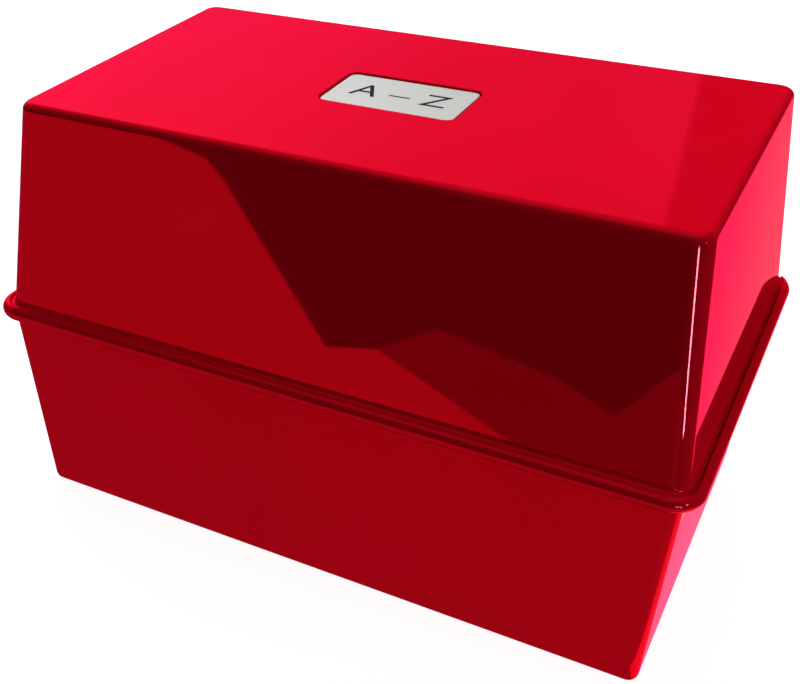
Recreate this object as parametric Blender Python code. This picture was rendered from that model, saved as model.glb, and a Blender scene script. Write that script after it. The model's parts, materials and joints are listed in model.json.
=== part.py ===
"""Card file box: a moulded tray with a rim bead, a hinged cover with an inset plate,
and a set of tabbed A to Z card guides that stand in the tray and fan forward.

The frame is +Z up with the origin under the middle of the box, on the surface it stands
on. The front is at -Y, and the hinge runs along X at the back.
"""
import math

import bpy
import bmesh
from mathutils import Matrix

MM = 0.001

# Driving dimensions, in metres. The walls' outer faces meet the parting plane at
# WIDTH x DEPTH; an offset counts outward from there.
WIDTH = 144.0 * MM
DEPTH = 85.0 * MM
HEIGHT = 92.0 * MM
PARTING_Z = 47.7 * MM
GAP = 0.3 * MM
WALL = 1.8 * MM
FLOOR = 2.0 * MM
TOP = 2.2 * MM
SMALLEST_RADIUS = 0.8 * MM

# Tray walls. A draft is how far a wall has moved in at its far end from the parting.
BASE_CORNER_RADIUS = 2.2 * MM
BASE_DRAFT_X = 1.6 * MM
BASE_DRAFT_Y = 1.5 * MM
BASE_EDGE_RADIUS = 1.8 * MM

# Cover walls: the front one leans back more than the rear one leans forward.
LID_CORNER_RADIUS = 3.2 * MM
LID_DRAFT_X = 4.9 * MM
LID_DRAFT_FRONT = 7.1 * MM
LID_DRAFT_REAR = 5.7 * MM
LID_EDGE_RADIUS = 1.4 * MM

# Rim bead along the front and the sides of the tray, which ends flush with the rear wall.
# A channel inside it takes the cover's foot flange.
BEAD_REACH = 3.1 * MM
BEAD_BOTTOM_Z = 46.4 * MM
BEAD_TOP_Z = 49.6 * MM
BEAD_ROOT_Z = 45.9 * MM
CHANNEL_REACH = 1.4 * MM
CHANNEL_REAR = 0.5 * MM
FLANGE_REACH = 1.05 * MM
FLANGE_TOP_Z = 49.2 * MM
FLANGE_BLEND_Z = 50.2 * MM
FLANGE_STEP = 0.7 * MM
FLANGE_CHAMFER = 0.2 * MM

# Hinge at the back: knuckles of the cover turn on stub pins between lugs of the tray.
HINGE_Z = PARTING_Z + GAP
HINGE_REACH = 1.5 * MM
HINGE_Y = DEPTH / 2 + HINGE_REACH
BARREL_RADIUS = 1.6 * MM
PIN_RADIUS = 0.8 * MM
PIN_HOLE_RADIUS = 1.1 * MM
PIN_LENGTH = 2.6 * MM
KNUCKLE_WIDTH = 14.0 * MM
LUG_WIDTH = 4.0 * MM
HINGE_CENTRES_X = (-46.0 * MM, 46.0 * MM)
SIDE_GAP = 0.4 * MM
LUG_ROOT = 1.0 * MM
LUG_FOOT_Z = BEAD_BOTTOM_Z - 2.0 * MM
LUG_TRIM = 0.3 * MM
SLOT_DEPTH = 0.45 * MM
SLOT_FOOT_Z = BEAD_BOTTOM_Z - 0.6 * MM
CUTTER_REACH = 5.0 * MM
CUTTER_OVERRUN = 1.0 * MM
KNUCKLE_TOP = 6.0 * MM

# Plate let into the cover's top.
PLATE_WIDTH = 28.0 * MM
PLATE_DEPTH = 15.8 * MM
PLATE_THICKNESS = 0.5 * MM
PLATE_RADIUS = 1.6 * MM
RECESS_DEPTH = 1.1 * MM
RECESS_MARGIN = 0.4 * MM
PLATE_X = -0.4 * MM

# Card guides: 5 x 3 inch cards with a tab in one of five places along the top.
GUIDE_NAMES = [f"guide_{letter}" for letter in "abcdefghijklmnopqrstuvw"] + ["guide_xyz"]
GUIDE_WIDTH = 127.0 * MM
GUIDE_HEIGHT = 76.2 * MM
GUIDE_THICKNESS = 0.4 * MM
GUIDE_RADIUS = 2.0 * MM
TAB_PLACES = 5
TAB_HEIGHT = 8.4 * MM
TAB_SLOPE = 1.6 * MM
GUIDE_PITCH = 1.9 * MM
REAR_GUIDE_Y = 20.0 * MM
GUIDE_LEAN = math.radians(8.5)
GUIDE_FOOT_Z = FLOOR + 0.5 * MM

CORNER_STEPS = 6
ARC_STEPS = 6
ROUND_SIDES = 24
SMOOTH_ANGLE = math.radians(35.0)


def clear_scene():
    for item in list(bpy.data.objects):
        bpy.data.objects.remove(item, do_unlink=True)


def make_material(name, colour, roughness, metallic=0.0):
    material = bpy.data.materials.new(name)
    material.use_nodes = True
    shader = material.node_tree.nodes["Principled BSDF"]
    shader.inputs["Base Color"].default_value = (*colour, 1.0)
    shader.inputs["Roughness"].default_value = roughness
    shader.inputs["Metallic"].default_value = metallic
    material.diffuse_color = (*colour, 1.0)
    return material


def outline(side, front, rear, radius):
    """Rounded rectangle from -front to rear in y, counter-clockwise seen from above."""
    points = []
    for quarter in range(4):
        centre_x = side - radius if quarter in (0, 3) else radius - side
        centre_y = rear - radius if quarter in (0, 1) else radius - front
        for step in range(CORNER_STEPS + 1):
            angle = math.radians(90.0) * (quarter + step / CORNER_STEPS)
            points.append((centre_x + radius * math.cos(angle), centre_y + radius * math.sin(angle)))
    return points


def at_height(points, z):
    return [(x, y, z) for x, y in points]


def base_level(z, pull):
    """The tray's outer wall at height z, moved inward by pull."""
    share = 1.0 - min(z, BEAD_BOTTOM_Z) / BEAD_BOTTOM_Z
    side = WIDTH / 2 - BASE_DRAFT_X * share - pull
    end = DEPTH / 2 - BASE_DRAFT_Y * share - pull
    return at_height(outline(side, end, end, max(BASE_CORNER_RADIUS - pull, SMALLEST_RADIUS)), z)


def lid_level(z, pull):
    """The cover's outer wall at height z, moved inward by pull."""
    share = max(z - FLANGE_BLEND_Z, 0.0) / (HEIGHT - FLANGE_BLEND_Z)
    side = WIDTH / 2 - LID_DRAFT_X * share - pull
    front = DEPTH / 2 - LID_DRAFT_FRONT * share - pull
    rear = DEPTH / 2 - LID_DRAFT_REAR * share - pull
    return at_height(outline(side, front, rear, max(LID_CORNER_RADIUS - pull, SMALLEST_RADIUS)), z)


def rim_outline(reach, rear=0.0):
    """The parting outline moved out by reach at the front and sides, and by rear behind."""
    side = WIDTH / 2 + reach
    return outline(side, DEPTH / 2 + reach, DEPTH / 2 + rear, LID_CORNER_RADIUS + reach)


def mesh_object(name, mesh, material):
    item = bpy.data.objects.new(name, mesh)
    bpy.context.scene.collection.objects.link(item)
    mesh.materials.append(material)
    return item


def loft(name, loops, material):
    """A closed body through a chain of equal loops, with a flat cap on each end."""
    shape = bmesh.new()
    rings = [[shape.verts.new(point) for point in loop] for loop in loops]
    count = len(rings[0])
    for lower, upper in zip(rings, rings[1:]):
        for i in range(count):
            j = (i + 1) % count
            shape.faces.new((lower[i], lower[j], upper[j], upper[i]))
    shape.faces.new(list(reversed(rings[0])))
    shape.faces.new(rings[-1])
    bmesh.ops.recalc_face_normals(shape, faces=shape.faces)
    mesh = bpy.data.meshes.new(name)
    shape.to_mesh(mesh)
    shape.free()
    return mesh_object(name, mesh, material)


def prism(name, shape_outline, length, material):
    """An outline drawn in the plane z = 0, extruded from there along +Z."""
    shape = bmesh.new()
    face = shape.faces.new([shape.verts.new((x, y, 0.0)) for x, y in shape_outline])
    grown = bmesh.ops.extrude_face_region(shape, geom=[face])
    moved = [v for v in grown["geom"] if isinstance(v, bmesh.types.BMVert)]
    bmesh.ops.translate(shape, verts=moved, vec=(0.0, 0.0, length))
    bmesh.ops.recalc_face_normals(shape, faces=shape.faces)
    mesh = bpy.data.meshes.new(name)
    shape.to_mesh(mesh)
    shape.free()
    return mesh_object(name, mesh, material)


def along_x(item, start_x):
    """Turns a prism drawn as (y, z) so that it runs along +X from start_x."""
    turn = Matrix(((0, 0, 1), (1, 0, 0), (0, 1, 0))).to_4x4()
    item.data.transform(Matrix.Translation((start_x, 0.0, 0.0)) @ turn)
    return item


def barrel_arc(radius, start_degrees, end_degrees):
    """Points (y, z) of an arc round the hinge axis; 0 degrees points back and 90 up."""
    steps = max(2, round(ROUND_SIDES * (end_degrees - start_degrees) / 360.0))
    points = []
    for step in range(steps + 1):
        angle = math.radians(start_degrees + (end_degrees - start_degrees) * step / steps)
        points.append((HINGE_Y + radius * math.cos(angle), HINGE_Z + radius * math.sin(angle)))
    return points


def rod(name, radius, start_x, length, material):
    """A round rod on the hinge axis."""
    return along_x(prism(name, barrel_arc(radius, 0.0, 345.0), length, material), start_x)


def block(name, low, high, material):
    corners = [(low[0], low[1]), (high[0], low[1]), (high[0], high[1]), (low[0], high[1])]
    item = prism(name, corners, high[2] - low[2], material)
    item.data.transform(Matrix.Translation((0.0, 0.0, low[2])))
    return item


def combine(target, operation, tool):
    """Adds a Boolean to the target; the tool stays in the file as a hidden guide."""
    tool.hide_render = True
    tool.display_type = "WIRE"
    modifier = target.modifiers.new(tool.name, "BOOLEAN")
    modifier.operation = operation
    modifier.solver = "EXACT"
    modifier.object = tool


def shade(item):
    item.data.shade_smooth()
    item.data.set_sharp_from_angle(angle=SMOOTH_ANGLE)


def rounded_levels(level, edge_z, inward, radius, extra=0.0):
    """Loops of a quarter round from the flat at edge_z to the wall, inward being +1 upward."""
    loops = []
    for step in range(ARC_STEPS + 1):
        angle = math.radians(90.0) * step / ARC_STEPS
        z = edge_z + inward * radius * (1.0 - math.cos(angle))
        loops.append(level(z, extra + radius * (1.0 - math.sin(angle))))
    return loops


def base_loops():
    loops = rounded_levels(base_level, 0.0, 1, BASE_EDGE_RADIUS)
    loops.append(base_level(BEAD_ROOT_Z, 0.0))
    middle_z = (BEAD_BOTTOM_Z + BEAD_TOP_Z) / 2
    radius = (BEAD_TOP_Z - BEAD_BOTTOM_Z) / 2
    for step in range(2 * ARC_STEPS + 1):
        angle = math.radians(-90.0 + 180.0 * step / (2 * ARC_STEPS))
        reach = BEAD_REACH - radius + radius * math.cos(angle)
        loops.append(at_height(rim_outline(reach), middle_z + radius * math.sin(angle)))
    loops.append(base_level(BEAD_TOP_Z, WALL))
    loops += reversed(rounded_levels(base_level, FLOOR, 1, BASE_EDGE_RADIUS, WALL))
    return loops


def lid_loops():
    loops = rounded_levels(lid_level, HEIGHT - TOP, -1, LID_EDGE_RADIUS, WALL)
    loops.append(lid_level(FLANGE_BLEND_Z, WALL))
    loops.append(lid_level(HINGE_Z, WALL))
    inner = FLANGE_REACH - FLANGE_CHAMFER
    loops.append(at_height(rim_outline(inner), HINGE_Z))
    loops.append(at_height(rim_outline(FLANGE_REACH), HINGE_Z + FLANGE_CHAMFER))
    loops.append(at_height(rim_outline(FLANGE_REACH), FLANGE_TOP_Z - FLANGE_CHAMFER))
    loops.append(at_height(rim_outline(inner), FLANGE_TOP_Z))
    blend = FLANGE_BLEND_Z - FLANGE_TOP_Z
    for step in range(1, ARC_STEPS + 1):
        angle = math.radians(90.0) * step / ARC_STEPS
        reach = FLANGE_STEP * (1.0 - math.sin(angle))
        z = FLANGE_TOP_Z + blend * (1.0 - math.cos(angle))
        loops.append(at_height(rim_outline(reach), z))
    loops += reversed(rounded_levels(lid_level, HEIGHT, -1, LID_EDGE_RADIUS))
    return loops


def hinge_spans(centre_x):
    """Start of the left lug, the knuckle and the right lug of one hinge."""
    knuckle = centre_x - KNUCKLE_WIDTH / 2
    return knuckle - SIDE_GAP - LUG_WIDTH, knuckle, knuckle + KNUCKLE_WIDTH + SIDE_GAP


def make_base(material):
    base = loft("base", base_loops(), material)
    back = DEPTH / 2
    channel = prism(
        "cut_channel", rim_outline(CHANNEL_REACH, CHANNEL_REAR), CUTTER_REACH, material
    )
    channel.data.transform(Matrix.Translation((0.0, 0.0, PARTING_Z)))
    combine(base, "DIFFERENCE", channel)
    lug_outline = [
        (back - LUG_ROOT, LUG_FOOT_Z),
        (back + GAP, LUG_FOOT_Z),
        *barrel_arc(BARREL_RADIUS, -50.0, 170.0),
        (back - LUG_ROOT, HINGE_Z - SIDE_GAP),
    ]
    for side, centre_x in zip(("left", "right"), HINGE_CENTRES_X):
        lug_a, knuckle, lug_b = hinge_spans(centre_x)
        for end, start_x in (("a", lug_a), ("b", lug_b - LUG_TRIM)):
            lug = prism(f"add_lug_{side}_{end}", lug_outline, LUG_WIDTH + LUG_TRIM, material)
            combine(base, "UNION", along_x(lug, start_x))
        slot = block(
            f"cut_slot_{side}",
            (knuckle - SIDE_GAP, back - SLOT_DEPTH, SLOT_FOOT_Z),
            (lug_b, back + CUTTER_REACH, HEIGHT),
            material,
        )
        combine(base, "DIFFERENCE", slot)
        bore_length = lug_b + LUG_WIDTH - lug_a + 2 * CUTTER_OVERRUN
        bore = rod(
            f"cut_bore_{side}", PIN_HOLE_RADIUS, lug_a - CUTTER_OVERRUN, bore_length, material
        )
        combine(base, "DIFFERENCE", bore)
    shade(base)
    return base


def make_lid(material):
    lid = loft("lid", lid_loops(), material)
    back = DEPTH / 2
    half_width = PLATE_WIDTH / 2 + RECESS_MARGIN
    half_depth = PLATE_DEPTH / 2 + RECESS_MARGIN
    recess = prism(
        "cut_recess",
        outline(half_width, half_depth, half_depth, PLATE_RADIUS + RECESS_MARGIN),
        RECESS_DEPTH + CUTTER_REACH,
        material,
    )
    recess.data.transform(Matrix.Translation((PLATE_X, 0.0, HEIGHT - RECESS_DEPTH)))
    combine(lid, "DIFFERENCE", recess)
    knuckle_outline = [
        (back - LUG_ROOT, HINGE_Z + 0.1 * MM),
        *barrel_arc(BARREL_RADIUS, 185.0, 400.0),
        (back - SIDE_GAP, HINGE_Z + KNUCKLE_TOP),
        (back - LUG_ROOT - SIDE_GAP, HINGE_Z + KNUCKLE_TOP),
    ]
    for side, centre_x in zip(("left", "right"), HINGE_CENTRES_X):
        lug_a, knuckle, lug_b = hinge_spans(centre_x)
        for end, start_x in (("a", lug_a), ("b", lug_b)):
            clearance = block(
                f"cut_lug_{side}_{end}",
                (start_x - SIDE_GAP, back - SLOT_DEPTH, HINGE_Z - CUTTER_OVERRUN),
                (
                    start_x + LUG_WIDTH + SIDE_GAP,
                    back + CUTTER_REACH,
                    HINGE_Z + BARREL_RADIUS + SIDE_GAP,
                ),
                material,
            )
            combine(lid, "DIFFERENCE", clearance)
        shape = prism(f"add_knuckle_{side}", knuckle_outline, KNUCKLE_WIDTH, material)
        combine(lid, "UNION", along_x(shape, knuckle))
        reach = SIDE_GAP + PIN_LENGTH
        pin_length = KNUCKLE_WIDTH + 2 * reach
        pin = rod(f"add_pin_{side}", PIN_RADIUS, knuckle - reach, pin_length, material)
        combine(lid, "UNION", pin)
    shade(lid)
    return lid


def make_badge(material):
    half_depth = PLATE_DEPTH / 2
    shape = outline(PLATE_WIDTH / 2, half_depth, half_depth, PLATE_RADIUS)
    badge = prism("badge", shape, PLATE_THICKNESS, material)
    badge.data.transform(Matrix.Translation((PLATE_X, 0.0, HEIGHT - RECESS_DEPTH + GAP)))
    shade(badge)
    return badge


def corner_arc(centre_x, centre_y, radius, start_degrees):
    return [
        (
            centre_x + radius * math.cos(math.radians(start_degrees + step * 30.0)),
            centre_y + radius * math.sin(math.radians(start_degrees + step * 30.0)),
        )
        for step in range(4)
    ]


def guide_outline(place):
    """Outline of a guide card, foot at y = 0, with its tab in the given place."""
    half = GUIDE_WIDTH / 2
    r = GUIDE_RADIUS
    tab_width = GUIDE_WIDTH / TAB_PLACES
    tab_left = -half + place * tab_width
    tab_right = tab_left + tab_width
    top = GUIDE_HEIGHT + TAB_HEIGHT
    points = [(-half, 0.0), (half, 0.0)]
    if place < TAB_PLACES - 1:
        points += corner_arc(half - r, GUIDE_HEIGHT - r, r, 0.0)
        points.append((tab_right + TAB_SLOPE, GUIDE_HEIGHT))
    else:
        tab_right = half
    points += corner_arc(tab_right - r, top - r, r, 0.0)
    points += corner_arc(tab_left + r, top - r, r, 90.0)
    if place > 0:
        points.append((tab_left - TAB_SLOPE, GUIDE_HEIGHT))
        points += corner_arc(-half + r, GUIDE_HEIGHT - r, r, 90.0)
    return points


def make_guide(index, name, material):
    """A guide card whose origin is on its tilting axis, the middle of its foot edge."""
    guide = prism(name, guide_outline(index % TAB_PLACES), GUIDE_THICKNESS, material)
    stand = Matrix.Rotation(math.radians(90.0), 4, "X")
    centred = Matrix.Translation((0.0, 0.0, -GUIDE_THICKNESS / 2))
    guide.data.transform(stand @ centred)
    behind = len(GUIDE_NAMES) - 1 - index
    guide.location = (0.0, REAR_GUIDE_Y - behind * GUIDE_PITCH, GUIDE_FOOT_Z)
    guide.rotation_euler = (-GUIDE_LEAN, 0.0, 0.0)
    return guide


def main():
    clear_scene()
    red = make_material("red_plastic", (0.62, 0.004, 0.012), 0.12)
    silver = make_material("silver_plate", (0.66, 0.66, 0.64), 0.38, 0.85)
    card = make_material("guide_card", (0.78, 0.71, 0.52), 0.7)
    make_base(red)
    lid = make_lid(red)
    badge = make_badge(silver)
    hinge = bpy.data.objects.new("lid_axis", None)
    hinge.location = (0.0, HINGE_Y, HINGE_Z)
    bpy.context.scene.collection.objects.link(hinge)
    for item in (lid, badge):
        item.parent = hinge
        item.matrix_parent_inverse = Matrix.Translation(-hinge.location)
    for index, name in enumerate(GUIDE_NAMES):
        make_guide(index, name, card)


main()
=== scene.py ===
"""Looks of the card index box: glossy red moulded tray and cover, a brushed plate let into the
cover, and the set of A to Z card guides inside.

The frame is +Z up with the origin under the middle of the box. The front is at -Y.
"""

import json
import math

import bpy
import bmesh
from mathutils import Matrix, Vector


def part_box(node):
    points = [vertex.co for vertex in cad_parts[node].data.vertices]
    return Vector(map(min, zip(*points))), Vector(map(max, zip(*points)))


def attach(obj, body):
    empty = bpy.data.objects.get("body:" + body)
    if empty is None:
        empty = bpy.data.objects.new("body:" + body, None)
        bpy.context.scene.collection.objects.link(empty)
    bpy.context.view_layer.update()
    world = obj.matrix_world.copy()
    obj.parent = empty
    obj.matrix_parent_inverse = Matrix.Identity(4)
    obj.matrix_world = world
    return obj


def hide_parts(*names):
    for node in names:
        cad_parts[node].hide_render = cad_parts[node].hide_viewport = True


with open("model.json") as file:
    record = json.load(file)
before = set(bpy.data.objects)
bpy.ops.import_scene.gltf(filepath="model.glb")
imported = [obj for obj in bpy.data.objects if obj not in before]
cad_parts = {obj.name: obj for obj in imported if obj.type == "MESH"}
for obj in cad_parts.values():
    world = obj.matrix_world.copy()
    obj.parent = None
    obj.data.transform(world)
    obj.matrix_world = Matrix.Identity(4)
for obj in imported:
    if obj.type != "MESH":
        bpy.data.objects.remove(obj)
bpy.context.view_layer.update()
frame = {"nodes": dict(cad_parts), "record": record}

MM = 0.001
JOINTS = {joint["name"]: joint for joint in frame["record"]["behaviour"]["joints"]}
GUIDES = sorted(name for name in frame["nodes"] if name.startswith("guide_"))

# Sizes that the frame gives.
base_low, base_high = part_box("base")
badge_low, badge_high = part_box("badge")
BEAD_REACH = 3.1 * MM
WIDTH = base_high.x - base_low.x - 2 * BEAD_REACH
DEPTH = -2 * (base_low.y + BEAD_REACH)
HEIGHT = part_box("lid")[1].z
BACK_Y = DEPTH / 2
HINGE_Y, HINGE_Z = JOINTS["lid_hinge"]["pos_m"][1:]
PLATE_WIDTH = badge_high.x - badge_low.x
PLATE_DEPTH = badge_high.y - badge_low.y

# Walls and their draft.
GAP = 0.3 * MM
PARTING_Z = HINGE_Z - GAP
WALL = 1.8 * MM
FLOOR = 2.0 * MM
TOP = 2.2 * MM
SMALLEST_RADIUS = 0.8 * MM
BASE_CORNER_RADIUS = 2.2 * MM
BASE_DRAFT_X = 1.6 * MM
BASE_DRAFT_Y = 1.5 * MM
BASE_EDGE_RADIUS = 1.8 * MM
LID_CORNER_RADIUS = 3.2 * MM
LID_DRAFT_X = 4.9 * MM
LID_DRAFT_FRONT = 7.1 * MM
LID_DRAFT_REAR = 5.7 * MM
LID_EDGE_RADIUS = 1.4 * MM

# Rim bead and the foot flange of the cover that sits in it.
BEAD_BOTTOM_Z = 46.4 * MM
BEAD_TOP_Z = 49.6 * MM
BEAD_ROOT_Z = 45.9 * MM
CHANNEL_REACH = 1.4 * MM
CHANNEL_REAR = 0.5 * MM
FLANGE_REACH = 1.12 * MM
FLANGE_TOP_Z = 49.2 * MM
FLANGE_BLEND_Z = 50.2 * MM
FLANGE_STEP = 0.7 * MM
LIP_RADIUS = 0.2 * MM
FLANGE_CHAMFER = 0.2 * MM

# Hinge.
BARREL_RADIUS = 1.6 * MM
PIN_RADIUS = 0.8 * MM
PIN_HOLE_RADIUS = 1.1 * MM
PIN_LENGTH = 2.6 * MM
KNUCKLE_WIDTH = 14.0 * MM
LUG_WIDTH = 4.0 * MM
HINGE_CENTRES_X = (-46.0 * MM, 46.0 * MM)
SIDE_GAP = 0.4 * MM
LUG_ROOT = 1.0 * MM
LUG_FOOT_Z = BEAD_BOTTOM_Z - 2.0 * MM
LUG_TRIM = 0.3 * MM
SLOT_DEPTH = 0.45 * MM
SLOT_FOOT_Z = BEAD_BOTTOM_Z - 0.6 * MM
CUTTER_REACH = 5.0 * MM
CUTTER_OVERRUN = 1.0 * MM
KNUCKLE_TOP = 6.0 * MM
KNUCKLE_FOOT = 0.1 * MM
LUG_ARC = (-50.0, 170.0)
KNUCKLE_ARC = (185.0, 400.0)

# Plate in the cover's top.
PLATE_RADIUS = 1.6 * MM
RECESS_DEPTH = 1.1 * MM
RECESS_MARGIN = 0.4 * MM
RECESS_LIP = 0.25 * MM
PLATE_X = (badge_low.x + badge_high.x) / 2
PLATE_LIP = 0.12 * MM
PLATE_LETTER_SIZE = 8.6 * MM
PLATE_LETTER_DEPTH = 0.05 * MM
PLATE_LETTER_SINK = 0.02 * MM

# Card guides.
GUIDE_THICKNESS = 0.4 * MM
GUIDE_LIP = 0.08 * MM
GUIDE_RADIUS = 2.0 * MM
GUIDE_HEIGHT = 76.2 * MM
GUIDE_WIDTH = 127.0 * MM
TAB_PLACES = 5
TAB_HEIGHT = 8.4 * MM
TAB_SLOPE = 1.6 * MM
GUIDE_LEAN = math.radians(8.5)
TAB_LETTER_SIZE = 6.0 * MM
TAB_LETTER_DEPTH = 0.04 * MM
TAB_LETTER_RISE = 0.45

CORNER_STEPS = 14
ARC_STEPS = 10
RECESS_STEPS = 5
LIP_STEPS = 4
CARD_CORNER_STEPS = 8
CARD_LIP_STEPS = 2
ROUND_SIDES = 48
SMOOTH_ANGLE = math.radians(35.0)
QUARTER = math.radians(90.0)
WHITE = (1.0, 1.0, 1.0, 1.0)


def link(item):
    bpy.context.scene.collection.objects.link(item)
    return item


# Materials


def new_material(name):
    material = bpy.data.materials.new(name)
    material.use_nodes = True
    return material, material.node_tree, material.node_tree.nodes["Principled BSDF"]


def add_node(tree, kind, **values):
    node = tree.nodes.new(kind)
    for key, value in values.items():
        setattr(node, key, value)
    return node


def object_coordinates(tree, scale=(1.0, 1.0, 1.0)):
    place = add_node(tree, "ShaderNodeTexCoord")
    mapping = add_node(tree, "ShaderNodeMapping")
    mapping.inputs["Scale"].default_value = scale
    tree.links.new(place.outputs["Object"], mapping.inputs["Vector"])
    return mapping.outputs["Vector"]


def noise(tree, vector, scale, detail=3.0, roughness=0.5):
    node = add_node(tree, "ShaderNodeTexNoise")
    node.inputs["Scale"].default_value = scale
    node.inputs["Detail"].default_value = detail
    node.inputs["Roughness"].default_value = roughness
    tree.links.new(vector, node.inputs["Vector"])
    return node.outputs["Fac"]


def ramp(tree, value, stops):
    """A colour ramp; stops are (place, (red, green, blue))."""
    node = add_node(tree, "ShaderNodeValToRGB")
    elements = node.color_ramp.elements
    while len(elements) < len(stops):
        elements.new(0.5)
    for element, (place, colour) in zip(elements, stops):
        element.position = place
        element.color = (*colour, 1.0)
    tree.links.new(value, node.inputs["Fac"])
    return node.outputs["Color"]


def mapped(tree, value, start, end, low=0.0, high=1.0):
    """Maps start to end onto low to high, and holds low and high beyond them."""
    node = add_node(tree, "ShaderNodeMapRange")
    node.inputs["From Min"].default_value = start
    node.inputs["From Max"].default_value = end
    node.inputs["To Min"].default_value = low
    node.inputs["To Max"].default_value = high
    tree.links.new(value, node.inputs["Value"])
    return node.outputs["Result"]


def math_node(tree, operation, first, *others):
    """Chains a two-input operation over the values."""
    result = first
    for value in others:
        node = add_node(tree, "ShaderNodeMath", operation=operation)
        tree.links.new(result, node.inputs[0])
        tree.links.new(value, node.inputs[1])
        result = node.outputs["Value"]
    return result


def bump(tree, height, distance, strength=1.0, under=None):
    node = add_node(tree, "ShaderNodeBump")
    node.inputs["Strength"].default_value = strength
    node.inputs["Distance"].default_value = distance
    tree.links.new(height, node.inputs["Height"])
    if under is not None:
        tree.links.new(under, node.inputs["Normal"])
    return node.outputs["Normal"]


def red_plastic():
    """Glossy moulded polystyrene, with a faint flow waviness, dust and rubbed patches."""
    material, tree, shader = new_material("gloss_red_plastic")
    place = object_coordinates(tree)
    tone = ramp(
        tree,
        noise(tree, place, 24.0, 4.0),
        [(0.3, (0.70, 0.0010, 0.0120)), (0.7, (0.76, 0.0016, 0.0160))],
    )
    tree.links.new(tone, shader.inputs["Base Color"])
    rubbed = noise(tree, place, 90.0, 6.0, 0.6)
    tree.links.new(mapped(tree, rubbed, 0.0, 1.0, 0.015, 0.045), shader.inputs["Roughness"])
    wave = bump(tree, noise(tree, place, 14.0, 1.0), 0.2 * MM, 0.06)
    skin = bump(tree, noise(tree, place, 900.0, 2.0), 0.001 * MM, 0.2, wave)
    tree.links.new(skin, shader.inputs["Normal"])
    shader.inputs["Metallic"].default_value = 0.2
    shader.inputs["IOR"].default_value = 1.5
    shader.inputs["Specular IOR Level"].default_value = 0.0
    shader.inputs["Specular Tint"].default_value = (1.0, 0.06, 0.7, 1.0)
    shader.inputs["Coat Weight"].default_value = 0.02
    shader.inputs["Coat Roughness"].default_value = 0.03
    return material


def silver_plate():
    """Satin aluminium, brushed along its length."""
    material, tree, shader = new_material("brushed_silver")
    place = object_coordinates(tree, (6.0, 240.0, 240.0))
    grain = noise(tree, place, 30.0, 5.0, 0.7)
    tone = ramp(tree, grain, [(0.25, (0.54, 0.535, 0.52)), (0.75, (0.67, 0.665, 0.645))])
    tree.links.new(tone, shader.inputs["Base Color"])
    tree.links.new(mapped(tree, grain, 0.0, 1.0, 0.34, 0.52), shader.inputs["Roughness"])
    tree.links.new(bump(tree, grain, 0.02 * MM, 0.3), shader.inputs["Normal"])
    shader.inputs["Metallic"].default_value = 0.55
    return material


def printing_ink():
    """Matt near-black ink, a little uneven."""
    material, tree, shader = new_material("printing_ink")
    place = object_coordinates(tree)
    tone = ramp(
        tree,
        noise(tree, place, 600.0, 3.0),
        [(0.3, (0.018, 0.018, 0.020)), (0.7, (0.035, 0.034, 0.036))],
    )
    tree.links.new(tone, shader.inputs["Base Color"])
    shader.inputs["Roughness"].default_value = 0.55
    shader.inputs["Specular IOR Level"].default_value = 0.0
    return material


def guide_card():
    """Buff index card with fine paper fibres."""
    material, tree, shader = new_material("buff_card")
    place = object_coordinates(tree)
    fibre = noise(tree, place, 420.0, 6.0, 0.65)
    tone = ramp(tree, fibre, [(0.3, (0.74, 0.62, 0.38)), (0.7, (0.82, 0.71, 0.47))])
    tree.links.new(tone, shader.inputs["Base Color"])
    tree.links.new(mapped(tree, fibre, 0.0, 1.0, 0.62, 0.82), shader.inputs["Roughness"])
    tree.links.new(bump(tree, fibre, 0.03 * MM, 0.4), shader.inputs["Normal"])
    shader.inputs["Specular IOR Level"].default_value = 0.0
    return material


# Mesh tools


def outline(side, front, rear, radius):
    """Rounded rectangle from -front to rear in y, counter-clockwise seen from above."""
    points = []
    for quarter in range(4):
        centre_x = side - radius if quarter in (0, 3) else radius - side
        centre_y = rear - radius if quarter in (0, 1) else radius - front
        for step in range(CORNER_STEPS + 1):
            angle = QUARTER * (quarter + step / CORNER_STEPS)
            points.append((centre_x + radius * math.cos(angle), centre_y + radius * math.sin(angle)))
    return points


def at_height(points, z):
    return [(x, y, z) for x, y in points]


def loft(name, loops):
    """A closed body through a chain of equal loops, with a flat cap on each end."""
    shape = bmesh.new()
    rings = [[shape.verts.new(point) for point in loop] for loop in loops]
    count = len(rings[0])
    for lower, upper in zip(rings, rings[1:]):
        for i in range(count):
            j = (i + 1) % count
            shape.faces.new((lower[i], lower[j], upper[j], upper[i]))
    shape.faces.new(list(reversed(rings[0])))
    shape.faces.new(rings[-1])
    bmesh.ops.recalc_face_normals(shape, faces=shape.faces)
    mesh = bpy.data.meshes.new(name)
    shape.to_mesh(mesh)
    shape.free()
    return link(bpy.data.objects.new(name, mesh))


def prism(name, points, low, high, lip=0.0, lip_steps=LIP_STEPS):
    """An outline between two heights, with both rims rounded by lip."""
    levels = [(low, 0.0)]
    if lip:
        levels = []
        for step in range(lip_steps + 1):
            angle = QUARTER * step / lip_steps
            levels.append((low + lip * (1 - math.cos(angle)), lip * (1 - math.sin(angle))))
    levels += [(high - (z - low), pull) for z, pull in reversed(levels)]
    return loft(name, [at_height(pulled_in(points, pull), z) for z, pull in levels])


def pulled_in(points, pull):
    """The outline with every edge moved inward by pull."""
    if pull == 0.0:
        return points
    moved = []
    for index, point in enumerate(points):
        here = Vector(point)
        into = (here - Vector(points[index - 1])).normalized()
        away = (Vector(points[(index + 1) % len(points)]) - here).normalized()
        inward = Vector((-(into.y + away.y), into.x + away.x)).normalized()
        share = inward.dot(Vector((-into.y, into.x)))
        moved.append(tuple(here + inward * (pull / share)))
    return moved


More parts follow.
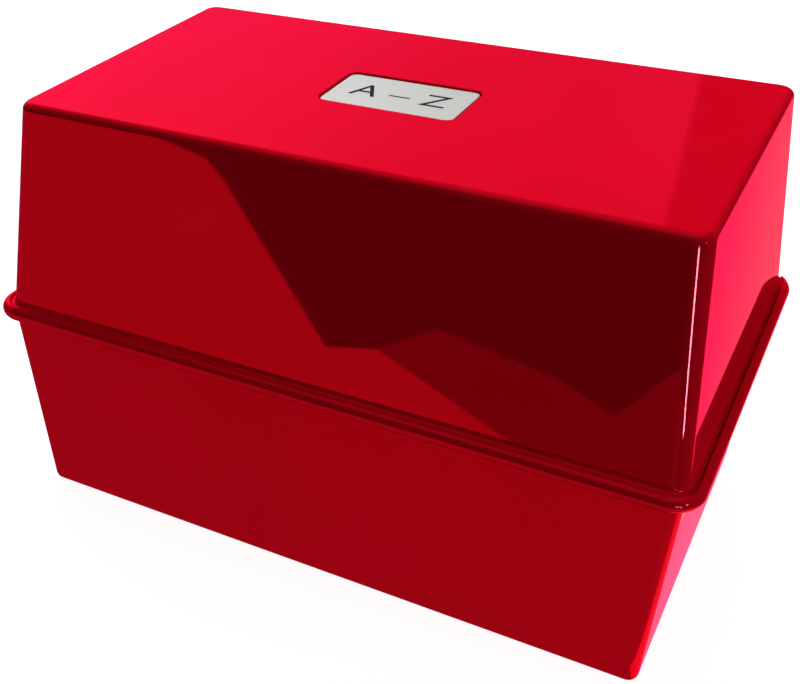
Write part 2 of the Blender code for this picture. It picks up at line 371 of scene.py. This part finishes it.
def along_x(item, start_x):
    """Turns a prism drawn as (y, z) so that it runs along +X from start_x."""
    turn = Matrix(((0, 0, 1), (1, 0, 0), (0, 1, 0))).to_4x4()
    item.data.transform(Matrix.Translation((start_x, 0.0, 0.0)) @ turn)
    return item


def barrel_arc(radius, start_degrees, end_degrees):
    """Points (y, z) of an arc round the hinge axis; 0 degrees points back and 90 up."""
    steps = round(ROUND_SIDES * (end_degrees - start_degrees) / 360.0)
    points = []
    for step in range(steps + 1):
        angle = math.radians(start_degrees + (end_degrees - start_degrees) * step / steps)
        points.append((HINGE_Y + radius * math.cos(angle), HINGE_Z + radius * math.sin(angle)))
    return points


def rod(name, radius, start_x, length):
    circle = barrel_arc(radius, 0.0, 360.0 - 360.0 / ROUND_SIDES)
    return along_x(prism(name, circle, 0.0, length), start_x)


def block(name, low, high):
    corners = [(low[0], low[1]), (high[0], low[1]), (high[0], high[1]), (low[0], high[1])]
    return prism(name, corners, low[2], high[2])


def combine(target, operation, tool):
    """Joins or cuts the target with the tool, and removes the tool."""
    modifier = target.modifiers.new(tool.name, "BOOLEAN")
    modifier.operation = operation
    modifier.solver = "EXACT"
    modifier.object = tool
    graph = bpy.context.evaluated_depsgraph_get()
    mesh = bpy.data.meshes.new_from_object(target.evaluated_get(graph))
    target.modifiers.clear()
    target.data = mesh
    bpy.data.objects.remove(tool, do_unlink=True)


def finish_mesh(item, material, angle=SMOOTH_ANGLE):
    item.data.materials.clear()
    item.data.materials.append(material)
    item.data.shade_smooth()
    item.data.set_sharp_from_angle(angle=angle)
    weighted = item.modifiers.new("face_weighted_normals", "WEIGHTED_NORMAL")
    weighted.keep_sharp = True
    weighted.weight = 100


# Tray and cover


def base_level(z, pull):
    """The tray's outer wall at height z, moved inward by pull."""
    share = 1.0 - min(z, BEAD_BOTTOM_Z) / BEAD_BOTTOM_Z
    side = WIDTH / 2 - BASE_DRAFT_X * share - pull
    end = DEPTH / 2 - BASE_DRAFT_Y * share - pull
    return at_height(outline(side, end, end, max(BASE_CORNER_RADIUS - pull, SMALLEST_RADIUS)), z)


def lid_level(z, pull):
    """The cover's outer wall at height z, moved inward by pull."""
    share = max(z - FLANGE_BLEND_Z, 0.0) / (HEIGHT - FLANGE_BLEND_Z)
    side = WIDTH / 2 - LID_DRAFT_X * share - pull
    front = DEPTH / 2 - LID_DRAFT_FRONT * share - pull
    rear = DEPTH / 2 - LID_DRAFT_REAR * share - pull
    return at_height(outline(side, front, rear, max(LID_CORNER_RADIUS - pull, SMALLEST_RADIUS)), z)


def rim_outline(reach, rear=0.0):
    """The parting outline moved out by reach at the front and sides, and by rear behind."""
    side = WIDTH / 2 + reach
    return outline(side, DEPTH / 2 + reach, DEPTH / 2 + rear, LID_CORNER_RADIUS + reach)


def rounded_levels(level, edge_z, inward, radius, extra=0.0):
    """Loops of a quarter round from the flat at edge_z to the wall, inward being +1 upward."""
    loops = []
    for step in range(ARC_STEPS + 1):
        angle = QUARTER * step / ARC_STEPS
        z = edge_z + inward * radius * (1.0 - math.cos(angle))
        loops.append(level(z, extra + radius * (1.0 - math.sin(angle))))
    return loops


def base_loops():
    loops = rounded_levels(base_level, 0.0, 1, BASE_EDGE_RADIUS)
    loops.append(base_level(BEAD_ROOT_Z, 0.0))
    middle_z = (BEAD_BOTTOM_Z + BEAD_TOP_Z) / 2
    radius = (BEAD_TOP_Z - BEAD_BOTTOM_Z) / 2
    for step in range(2 * ARC_STEPS + 1):
        angle = QUARTER * (step / ARC_STEPS - 1.0)
        reach = BEAD_REACH - radius + radius * math.cos(angle)
        loops.append(at_height(rim_outline(reach), middle_z + radius * math.sin(angle)))
    loops.append(base_level(BEAD_TOP_Z, WALL))
    loops += reversed(rounded_levels(base_level, FLOOR, 1, BASE_EDGE_RADIUS, WALL))
    return loops


def lid_loops():
    loops = rounded_levels(lid_level, HEIGHT - TOP, -1, LID_EDGE_RADIUS, WALL)
    loops.append(lid_level(FLANGE_BLEND_Z, WALL))
    loops.append(lid_level(HINGE_Z, WALL))
    inner = FLANGE_REACH - FLANGE_CHAMFER
    loops.append(at_height(rim_outline(inner), HINGE_Z))
    loops.append(at_height(rim_outline(FLANGE_REACH), HINGE_Z + FLANGE_CHAMFER))
    loops.append(at_height(rim_outline(FLANGE_REACH), FLANGE_TOP_Z - FLANGE_CHAMFER))
    loops.append(at_height(rim_outline(inner), FLANGE_TOP_Z))
    blend = FLANGE_BLEND_Z - FLANGE_TOP_Z
    for step in range(1, ARC_STEPS + 1):
        angle = QUARTER * step / ARC_STEPS
        reach = FLANGE_STEP * (1.0 - math.sin(angle))
        z = FLANGE_TOP_Z + blend * (1.0 - math.cos(angle))
        loops.append(at_height(rim_outline(reach), z))
    loops += reversed(rounded_levels(lid_level, HEIGHT, -1, LID_EDGE_RADIUS))
    return loops


def hinge_spans(centre_x):
    """Start of the left lug, the knuckle and the right lug of one hinge."""
    knuckle = centre_x - KNUCKLE_WIDTH / 2
    return knuckle - SIDE_GAP - LUG_WIDTH, knuckle, knuckle + KNUCKLE_WIDTH + SIDE_GAP


def make_tray(material):
    tray = loft("tray_shell", base_loops())
    channel_levels = [(PARTING_Z, 0.0), (BEAD_TOP_Z - LIP_RADIUS, 0.0)]
    for step in range(1, LIP_STEPS + 1):
        angle = QUARTER * step / LIP_STEPS
        z = BEAD_TOP_Z - LIP_RADIUS * (1.0 - math.sin(angle))
        channel_levels.append((z, LIP_RADIUS * (1.0 - math.cos(angle))))
    channel_levels.append((HEIGHT, LIP_RADIUS))
    channel = loft(
        "cut_channel",
        [
            at_height(rim_outline(CHANNEL_REACH + flare, CHANNEL_REAR + flare), z)
            for z, flare in channel_levels
        ],
    )
    combine(tray, "DIFFERENCE", channel)
    lug_outline = [
        (BACK_Y - LUG_ROOT, LUG_FOOT_Z),
        (BACK_Y + GAP, LUG_FOOT_Z),
        *barrel_arc(BARREL_RADIUS, *LUG_ARC),
        (BACK_Y - LUG_ROOT, HINGE_Z - SIDE_GAP),
    ]
    for side, centre_x in zip(("left", "right"), HINGE_CENTRES_X):
        lug_a, knuckle, lug_b = hinge_spans(centre_x)
        for end, start_x in (("a", lug_a), ("b", lug_b - LUG_TRIM)):
            lug = prism(f"lug_{side}_{end}", lug_outline, 0.0, LUG_WIDTH + LUG_TRIM)
            combine(tray, "UNION", along_x(lug, start_x))
        slot = block(
            f"slot_{side}",
            (knuckle - SIDE_GAP, BACK_Y - SLOT_DEPTH, SLOT_FOOT_Z),
            (lug_b, BACK_Y + CUTTER_REACH, HEIGHT),
        )
        combine(tray, "DIFFERENCE", slot)
        length = lug_b + LUG_WIDTH - lug_a + 2 * CUTTER_OVERRUN
        bore = rod(f"bore_{side}", PIN_HOLE_RADIUS, lug_a - CUTTER_OVERRUN, length)
        combine(tray, "DIFFERENCE", bore)
    finish_mesh(tray, material)
    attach(tray, "base")
    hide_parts("base")


def recess_cutter():
    """The recess for the plate, with its upper rim rounded over."""
    levels = [(HEIGHT - RECESS_DEPTH, 0.0), (HEIGHT - RECESS_LIP, 0.0)]
    for step in range(1, RECESS_STEPS + 1):
        angle = QUARTER * step / RECESS_STEPS
        z = HEIGHT - RECESS_LIP * (1.0 - math.sin(angle))
        levels.append((z, RECESS_LIP * (1.0 - math.cos(angle))))
    levels.append((HEIGHT + CUTTER_REACH, RECESS_LIP))
    loops = []
    for z, flare in levels:
        margin = RECESS_MARGIN + flare
        side = PLATE_WIDTH / 2 + margin
        end = PLATE_DEPTH / 2 + margin
        loops.append(at_height(outline(side, end, end, PLATE_RADIUS + margin), z))
    cutter = loft("cut_recess", loops)
    cutter.data.transform(Matrix.Translation((PLATE_X, 0.0, 0.0)))
    return cutter


def make_cover(material):
    cover = loft("cover_shell", lid_loops())
    combine(cover, "DIFFERENCE", recess_cutter())
    knuckle_outline = [
        (BACK_Y - LUG_ROOT, HINGE_Z + KNUCKLE_FOOT),
        *barrel_arc(BARREL_RADIUS, *KNUCKLE_ARC),
        (BACK_Y - SIDE_GAP, HINGE_Z + KNUCKLE_TOP),
        (BACK_Y - LUG_ROOT - SIDE_GAP, HINGE_Z + KNUCKLE_TOP),
    ]
    for side, centre_x in zip(("left", "right"), HINGE_CENTRES_X):
        lug_a, knuckle, lug_b = hinge_spans(centre_x)
        for end, start_x in (("a", lug_a), ("b", lug_b)):
            low = (start_x - SIDE_GAP, BACK_Y - SLOT_DEPTH, HINGE_Z - CUTTER_OVERRUN)
            high = (
                start_x + LUG_WIDTH + SIDE_GAP,
                BACK_Y + CUTTER_REACH,
                HINGE_Z + BARREL_RADIUS + SIDE_GAP,
            )
            combine(cover, "DIFFERENCE", block(f"clear_lug_{side}_{end}", low, high))
        shape = prism(f"knuckle_{side}", knuckle_outline, 0.0, KNUCKLE_WIDTH)
        combine(cover, "UNION", along_x(shape, knuckle))
        reach = SIDE_GAP + PIN_LENGTH
        pin = rod(f"pin_{side}", PIN_RADIUS, knuckle - reach, KNUCKLE_WIDTH + 2 * reach)
        combine(cover, "UNION", pin)
    finish_mesh(cover, material)
    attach(cover, "lid")
    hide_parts("lid")


def raised_text(name, body, height, depth, material):
    """The text as a thin closed body, centred on the origin and facing up."""
    curve = bpy.data.curves.new(name, "FONT")
    curve.body = body
    curve.size = height
    curve.align_x = "CENTER"
    curve.align_y = "CENTER"
    curve.extrude = depth / 2
    item = link(bpy.data.objects.new(name, curve))
    graph = bpy.context.evaluated_depsgraph_get()
    mesh = bpy.data.meshes.new_from_object(item.evaluated_get(graph))
    bpy.data.objects.remove(item, do_unlink=True)
    shape = bmesh.new()
    shape.from_mesh(mesh)
    bmesh.ops.remove_doubles(shape, verts=shape.verts, dist=0.001 * MM)
    bmesh.ops.recalc_face_normals(shape, faces=shape.faces)
    shape.to_mesh(mesh)
    shape.free()
    mesh.materials.clear()
    mesh.materials.append(material)
    return mesh


def join_mesh(target, mesh, material_index):
    """Adds another closed body to the target, under its own material."""
    shape = bmesh.new()
    shape.from_mesh(target.data)
    first = len(shape.faces)
    shape.from_mesh(mesh)
    shape.faces.ensure_lookup_table()
    for face in shape.faces[first:]:
        face.material_index = material_index
    shape.to_mesh(target.data)
    shape.free()


def make_plate(silver, ink):
    end = PLATE_DEPTH / 2
    shape = outline(PLATE_WIDTH / 2, end, end, PLATE_RADIUS)
    plate = prism("index_plate", shape, badge_low.z, badge_high.z, PLATE_LIP)
    plate.data.transform(Matrix.Translation((PLATE_X, 0.0, 0.0)))
    finish_mesh(plate, silver)
    plate.data.materials.append(ink)
    letters = raised_text("plate_letters", "A – Z", PLATE_LETTER_SIZE, PLATE_LETTER_DEPTH, ink)
    letters.transform(Matrix.Translation((PLATE_X, 0.0, badge_high.z - PLATE_LETTER_SINK)))
    join_mesh(plate, letters, 1)
    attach(plate, "lid")
    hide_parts("badge")


# Card guides


def corner_arc(centre_x, centre_y, radius, quarter):
    """A quarter arc that starts at the given number of quarter turns from +x."""
    points = []
    for step in range(CARD_CORNER_STEPS + 1):
        angle = QUARTER * (quarter + step / CARD_CORNER_STEPS)
        points.append((centre_x + radius * math.cos(angle), centre_y + radius * math.sin(angle)))
    return points


def guide_outline(place):
    """Outline of a guide card, foot at y = 0, with its tab in the given place."""
    half = GUIDE_WIDTH / 2
    r = GUIDE_RADIUS
    tab_width = GUIDE_WIDTH / TAB_PLACES
    tab_left = -half + place * tab_width
    tab_right = tab_left + tab_width
    top = GUIDE_HEIGHT + TAB_HEIGHT
    points = [(-half, 0.0), (half, 0.0)]
    if place < TAB_PLACES - 1:
        points += corner_arc(half - r, GUIDE_HEIGHT - r, r, 0)
        points.append((tab_right + TAB_SLOPE, GUIDE_HEIGHT))
    points += corner_arc(tab_right - r, top - r, r, 0)
    points += corner_arc(tab_left + r, top - r, r, 1)
    if place > 0:
        points.append((tab_left - TAB_SLOPE, GUIDE_HEIGHT))
        points += corner_arc(-half + r, GUIDE_HEIGHT - r, r, 1)
    return points


def make_guides(card, ink):
    stand = Matrix.Rotation(QUARTER, 4, "X")
    lean = Matrix.Rotation(-GUIDE_LEAN, 4, "X")
    half = GUIDE_THICKNESS / 2
    tab_width = GUIDE_WIDTH / TAB_PLACES
    pieces = []
    for index, node in enumerate(GUIDES):
        letters = node.removeprefix("guide_").upper()
        place = index % TAB_PLACES
        shape = guide_outline(place)
        piece = prism(f"card_{letters}", shape, -half, half, GUIDE_LIP, CARD_LIP_STEPS)
        finish_mesh(piece, card)
        piece.data.materials.append(ink)
        text = raised_text(f"tab_{letters}", letters, TAB_LETTER_SIZE, TAB_LETTER_DEPTH, ink)
        tab_x = -GUIDE_WIDTH / 2 + (place + 0.5) * tab_width
        tab_y = GUIDE_HEIGHT + TAB_HEIGHT * TAB_LETTER_RISE
        text.transform(Matrix.Translation((tab_x, tab_y, half)))
        join_mesh(piece, text, 1)
        joint = JOINTS["guide_fan" if index == 0 else f"{node}_tilt"]
        pivot = Matrix.Translation(Vector(joint["pos_m"]))
        piece.data.transform(pivot @ lean @ stand)
        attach(piece, node)
        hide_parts(node)
        pieces.append(piece)
    return pieces


# Studio


def only_in_reflections(item):
    item.visible_camera = False
    item.visible_diffuse = False
    item.visible_transmission = False
    item.visible_volume_scatter = False
    item.visible_shadow = False


def make_floor():
    """A pale sweep; it takes the box's shadow, and the cards below stand for it in the gloss."""
    material, _, shader = new_material("pale_floor")
    shader.inputs["Base Color"].default_value = (0.30, 0.30, 0.30, 1.0)
    shader.inputs["Roughness"].default_value = 0.9
    shader.inputs["Specular IOR Level"].default_value = 0.0
    shader.inputs["Emission Color"].default_value = WHITE
    shader.inputs["Emission Strength"].default_value = 0.92
    floor = prism("pale_floor", outline(6.0, 6.0, 6.0, 1.0), -20.0 * MM, 0.0)
    floor.data.materials.append(material)
    floor.visible_diffuse = False
    floor.visible_glossy = False


def reflector(name, corners, colour, strength):
    """A flat card that only shows as a reflection in the gloss."""
    material = bpy.data.materials.new(name)
    material.use_nodes = True
    tree = material.node_tree
    tree.nodes.clear()
    light = add_node(tree, "ShaderNodeEmission")
    light.inputs["Color"].default_value = (*colour, 1.0)
    light.inputs["Strength"].default_value = strength
    out = add_node(tree, "ShaderNodeOutputMaterial")
    tree.links.new(light.outputs["Emission"], out.inputs["Surface"])
    mesh = bpy.data.meshes.new(name)
    mesh.from_pydata(corners, [], [range(len(corners))])
    mesh.materials.append(material)
    card = link(bpy.data.objects.new(name, mesh))
    only_in_reflections(card)


def make_reflectors():
    """Cards on the floor round the box: bright near it and at its left front, dark beyond. Two
    small strong ones to the right front draw the thin highlight on the front right edge."""
    near = [
        (-1.50, -1.70), (-0.62, -0.84), (-0.425, -0.695), (-0.35, -0.60), (-0.085, -0.24),
        (-0.07, -0.255), (0.0, -0.195), (0.06, -0.15), (0.15, -0.12), (0.11, 0.13),
        (-0.40, 0.13), (-1.50, 0.10),
    ]
    reflector("reflector_near_floor", at_height(near, 0.2 * MM), (1.0, 0.35, 0.5), 1.70)
    band = [
        (-0.07, -0.255), (-0.065, -0.31), (-0.005, -0.28), (0.025, -0.25), (0.03, -0.34),
        (0.10, -0.40), (0.25, -0.30), (0.15, -0.12), (0.06, -0.15), (0.0, -0.195),
    ]
    reflector("reflector_second_band", at_height(band, 0.3 * MM), (1.0, 0.35, 0.5), 0.55)
    right = [(0.074, -0.045), (0.120, -0.045), (0.160, 0.200), (0.300, 0.800), (0.074, 0.800)]
    reflector("reflector_right_floor", at_height(right, 0.4 * MM), (1.0, 0.42, 0.27), 4.8)
    foot = [(0.0705, -0.045), (0.074, -0.045), (0.074, 0.060), (0.0705, 0.060)]
    reflector("reflector_right_foot", at_height(foot, 0.4 * MM), (1.0, 0.22, 0.36), 4.8)
    glint = [(0.270, -0.184), (0.256, -0.198), (0.700, -1.120), (0.830, -1.035)]
    reflector("reflector_edge_glint", at_height(glint, 0.5 * MM), (0.04, 1.0, 0.45), 420.0)
    window = [
        (0.856, -0.420, 0.25), (0.890, -0.340, 0.25), (0.890, -0.340, 0.33), (0.856, -0.420, 0.33),
    ]
    reflector("reflector_window", window, (0.5, 1.0, 0.85), 160.0)


def area_light(name, place, target, size, power):
    """A soft rectangular light that doesn't show in the gloss."""
    light = bpy.data.lights.new(name, "AREA")
    light.shape = "RECTANGLE"
    light.size, light.size_y = size
    light.energy = power
    item = link(bpy.data.objects.new(name, light))
    item.location = place
    aim = Vector(target) - Vector(place)
    item.rotation_euler = aim.to_track_quat("-Z", "Y").to_euler()
    item.visible_glossy = False
    item.visible_camera = False
    return item


def make_lights(cards):
    """The room's soft lights, and one that only reaches the cards when the cover is open."""
    area_light("key_above", (-0.35, 0.75, 0.85), (0.0, 0.0, 0.08), (0.5, 0.5), 13.0)
    area_light("side_right", (0.9, 0.05, 0.25), (0.07, 0.0, 0.06), (0.5, 0.4), 2.0)
    fill = area_light("fill_cards", (0.25, -0.80, 0.65), (0.0, 0.0, 0.06), (0.6, 0.6), 12.0)
    receivers = bpy.data.collections.new("fill_receivers")
    for card in cards:
        receivers.objects.link(card)
    fill.light_linking.receiver_collection = receivers


def make_world():
    """White for the camera. For the light it is dim, with a glow low behind the left, a fainter
    panel behind the middle that ends in a crisp edge, and a softbox overhead."""
    world = bpy.data.worlds.new("studio")
    bpy.context.scene.world = world
    world.use_nodes = True
    tree = world.node_tree
    tree.nodes.clear()
    place = add_node(tree, "ShaderNodeTexCoord")
    split = add_node(tree, "ShaderNodeSeparateXYZ")
    tree.links.new(place.outputs["Generated"], split.inputs["Vector"])
    x, y, z = split.outputs["X"], split.outputs["Y"], split.outputs["Z"]
    behind = math_node(
        tree,
        "MULTIPLY",
        mapped(tree, y, 0.20, 0.50),
        mapped(tree, z, 0.02, 0.12),
        mapped(tree, z, 0.75, 0.50),
    )
    glow = math_node(tree, "MULTIPLY", mapped(tree, x, -0.24, -0.72, 0.0, 2.35), behind)
    panel_fade = mapped(tree, x, -0.360, -0.155, 0.3, 0.9)
    panel_edge = mapped(tree, x, -0.152, -0.158)
    panel = math_node(tree, "MULTIPLY", panel_fade, panel_edge, behind)
    overhead = mapped(tree, z, 0.78, 0.93, 0.09, 0.75)
    light = math_node(tree, "ADD", glow, panel, overhead)
    dim = add_node(tree, "ShaderNodeBackground")
    dim.inputs["Color"].default_value = WHITE
    tree.links.new(light, dim.inputs["Strength"])
    seen = add_node(tree, "ShaderNodeBackground")
    seen.inputs["Color"].default_value = WHITE
    rays = add_node(tree, "ShaderNodeLightPath")
    chooser = add_node(tree, "ShaderNodeMixShader")
    out = add_node(tree, "ShaderNodeOutputWorld")
    tree.links.new(rays.outputs["Is Camera Ray"], chooser.inputs["Fac"])
    tree.links.new(dim.outputs["Background"], chooser.inputs[1])
    tree.links.new(seen.outputs["Background"], chooser.inputs[2])
    tree.links.new(chooser.outputs["Shader"], out.inputs["Surface"])
    bpy.context.scene.view_settings.view_transform = "Standard"


def make_camera():
    """High at the right front, slightly rolled, framed with the box filling the picture."""
    data = bpy.data.cameras.new("camera")
    data.sensor_width = 36.0
    data.lens = 51.33
    data.shift_x = 0.1377
    data.shift_y = 0.0956
    data.clip_start = 0.01
    camera = link(bpy.data.objects.new("camera", data))
    azimuth = math.radians(30.185)
    elevation = math.radians(35.878)
    roll = math.radians(1.984)
    turn = Matrix.Rotation(azimuth, 4, "Z")
    tip = Matrix.Rotation(math.radians(90.0) - elevation, 4, "X")
    spin = Matrix.Rotation(-roll, 4, "Z")
    place = Matrix.Translation((88.2 * MM, -199.4 * MM, 171.9 * MM))
    camera.matrix_world = place @ turn @ tip @ spin
    bpy.context.scene.camera = camera


plastic = red_plastic()
ink = printing_ink()
make_tray(plastic)
make_cover(plastic)
make_plate(silver_plate(), ink)
cards = make_guides(guide_card(), ink)
make_floor()
make_reflectors()
make_lights(cards)
make_world()
make_camera()
